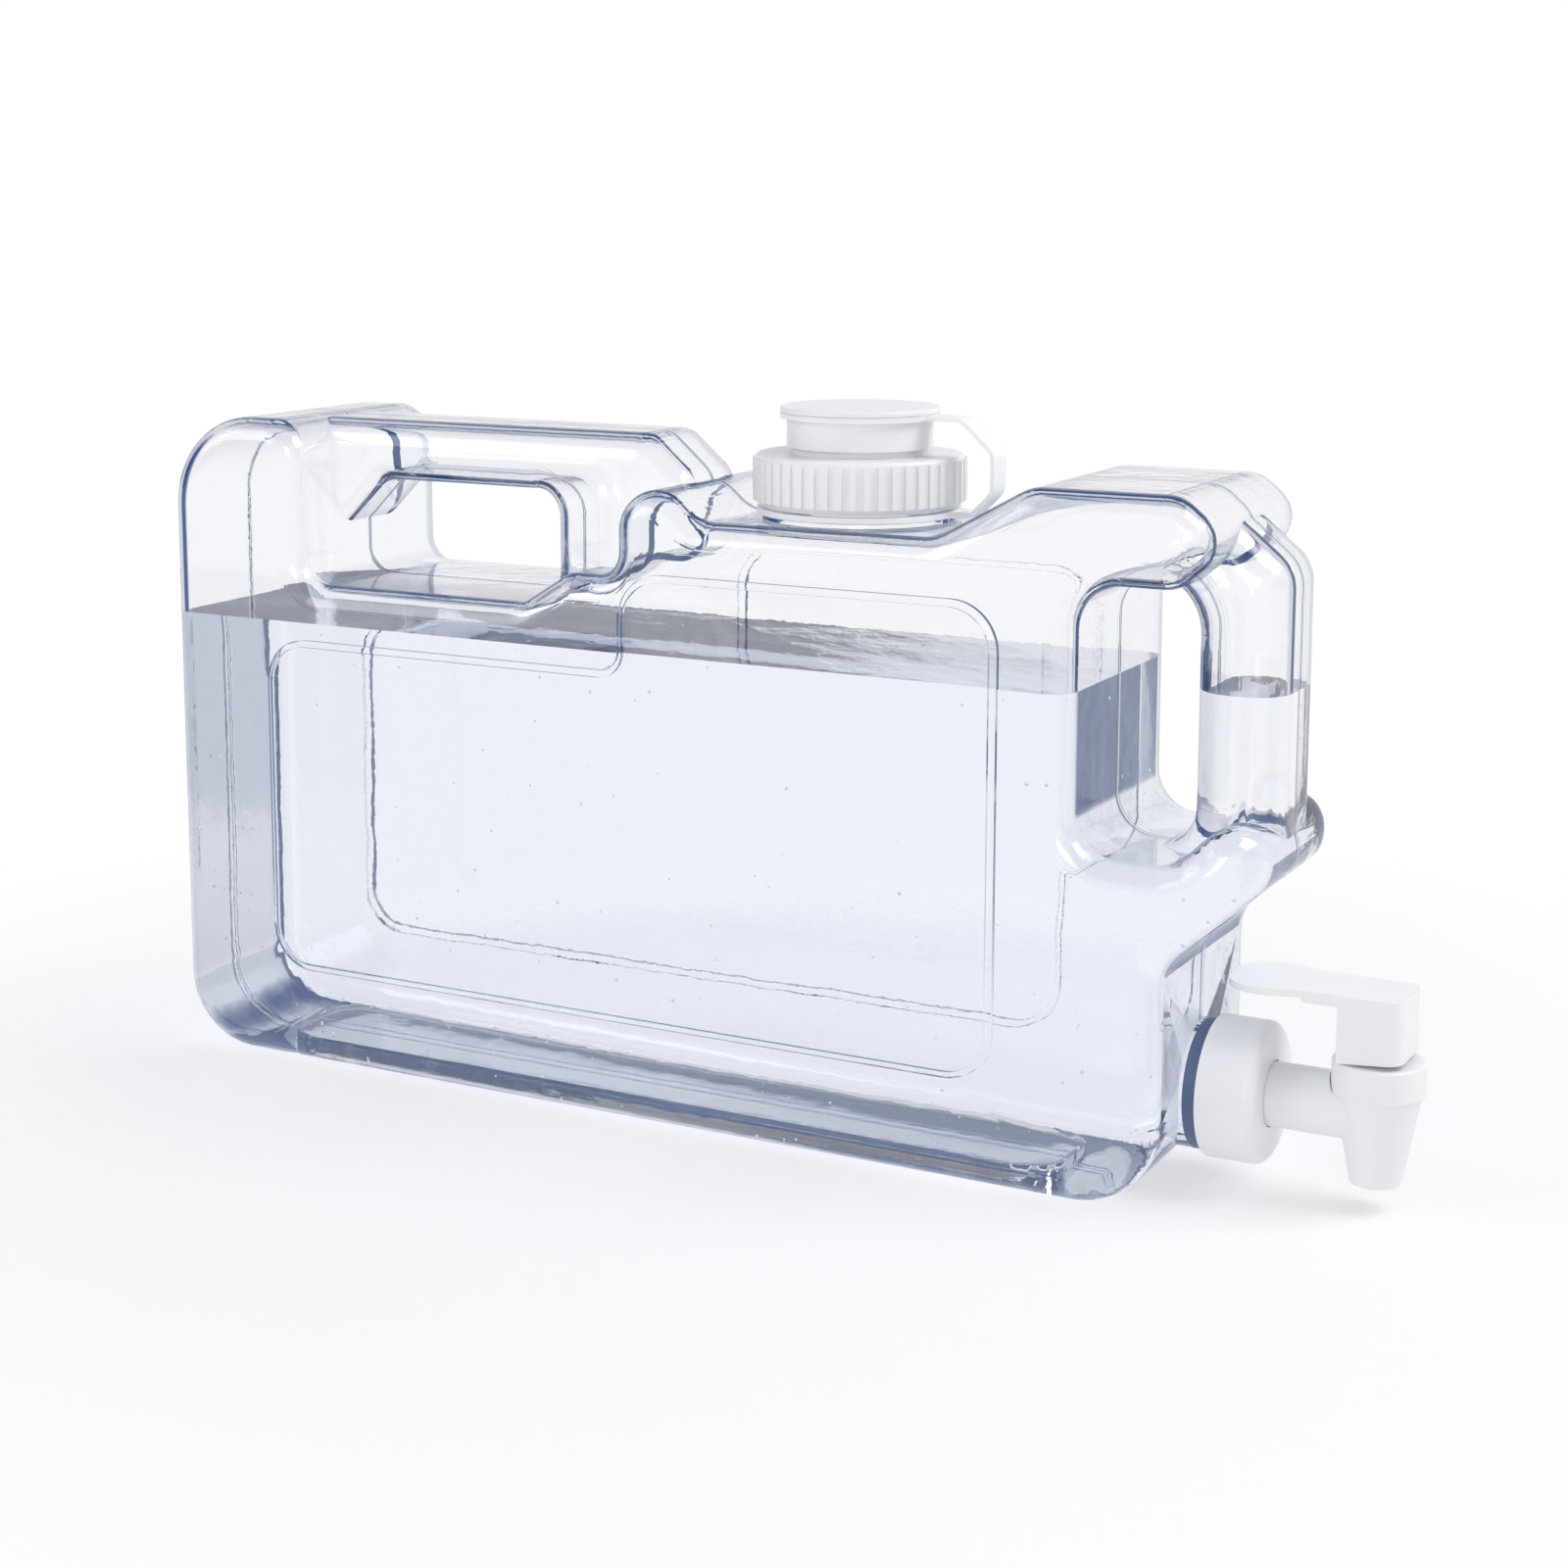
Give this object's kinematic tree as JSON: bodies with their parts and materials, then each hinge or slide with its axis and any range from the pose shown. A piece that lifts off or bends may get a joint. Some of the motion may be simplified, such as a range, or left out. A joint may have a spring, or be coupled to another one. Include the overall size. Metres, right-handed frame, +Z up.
{
  "type": "carboy with spigot",
  "caption": "Slim clear water carboy with a hollow carrying handle, a finger grip, a ribbed screw cap with a tethered push-on lid, and a self-closing lever tap.",
  "frame": {"origin": "on the surface it stands on, under the middle of the whole object", "axes": "+X towards the tap, +Z up, Y across the slim body"},
  "size_m": [0.391, 0.078, 0.2115],
  "materials": {
    "clear_body": "clear, glossy",
    "white_moulding": "white, soft gloss",
    "strap_plastic": "translucent white",
    "gasket_rubber": "dark blue, soft",
    "seal_rubber": "pale, soft",
    "washer_plastic": "plain",
    "spring_wire": "bright drawn wire"
  },
  "bodies": {
    "bottle_body": {"bottle": "clear_body", "outlet_gasket": "gasket_rubber", "tap_collar": "white_moulding", "flange_seal": "seal_rubber", "tap_body": "white_moulding", "tap_bonnet": "white_moulding", "bonnet_seal": "seal_rubber", "stem_seal": "seal_rubber"},
    "cap_lift": {"cap_liner": "seal_rubber"},
    "cap": {"screw_cap": "white_moulding", "tether_strap": "strap_plastic"},
    "lid": {"push_lid": "white_moulding", "lid_seal": "seal_rubber"},
    "tap_swivel": {"spring_washer": "washer_plastic", "return_spring": "spring_wire"},
    "stem": {"tap_stem": "white_moulding", "valve_cup": "seal_rubber"},
    "lever": {"tap_lever": "white_moulding"}
  },
  "joints": [
    {"name": "cap_rise", "type": "slide", "parent": "bottle_body", "child": "cap_lift", "axis": [0, 0, 1], "range_m": [0, 0.01351]},
    {"name": "cap_turn", "type": "hinge", "parent": "cap_lift", "child": "cap", "pos_m": [0.02645, 0, 0.183], "axis": [0, 0, 1], "range_deg": [0, 810]},
    {"name": "lid_open", "type": "hinge", "parent": "cap", "child": "lid", "pos_m": [0.06645, 0, 0.2015], "axis": [0, 1, 0], "range_deg": [0, 110], "deforming": ["tether_strap"]},
    {"name": "lever_swivel", "type": "hinge", "parent": "bottle_body", "child": "tap_swivel", "pos_m": [0.18295, 0, 0.038], "axis": [0, 0, 1], "continuous": true},
    {"name": "stem_lift", "type": "slide", "parent": "tap_swivel", "child": "stem", "axis": [0, 0, 1], "range_m": [0, 0.00284], "deforming": ["return_spring"]},
    {"name": "lever_press", "type": "hinge", "parent": "stem", "child": "lever", "pos_m": [0.18295, 0, 0.051], "axis": [0, -1, 0], "range_deg": [0, 18], "stiffness_Nm_per_rad": 0.057, "springref_deg": -25.44}
  ],
  "couplings": [
    {"joint": "cap_rise", "follows": "cap_turn", "m_per_rad": 0.00095493},
    {"joint": "stem_lift", "follows": "lever_press", "m_per_rad": 0.009}
  ]
}
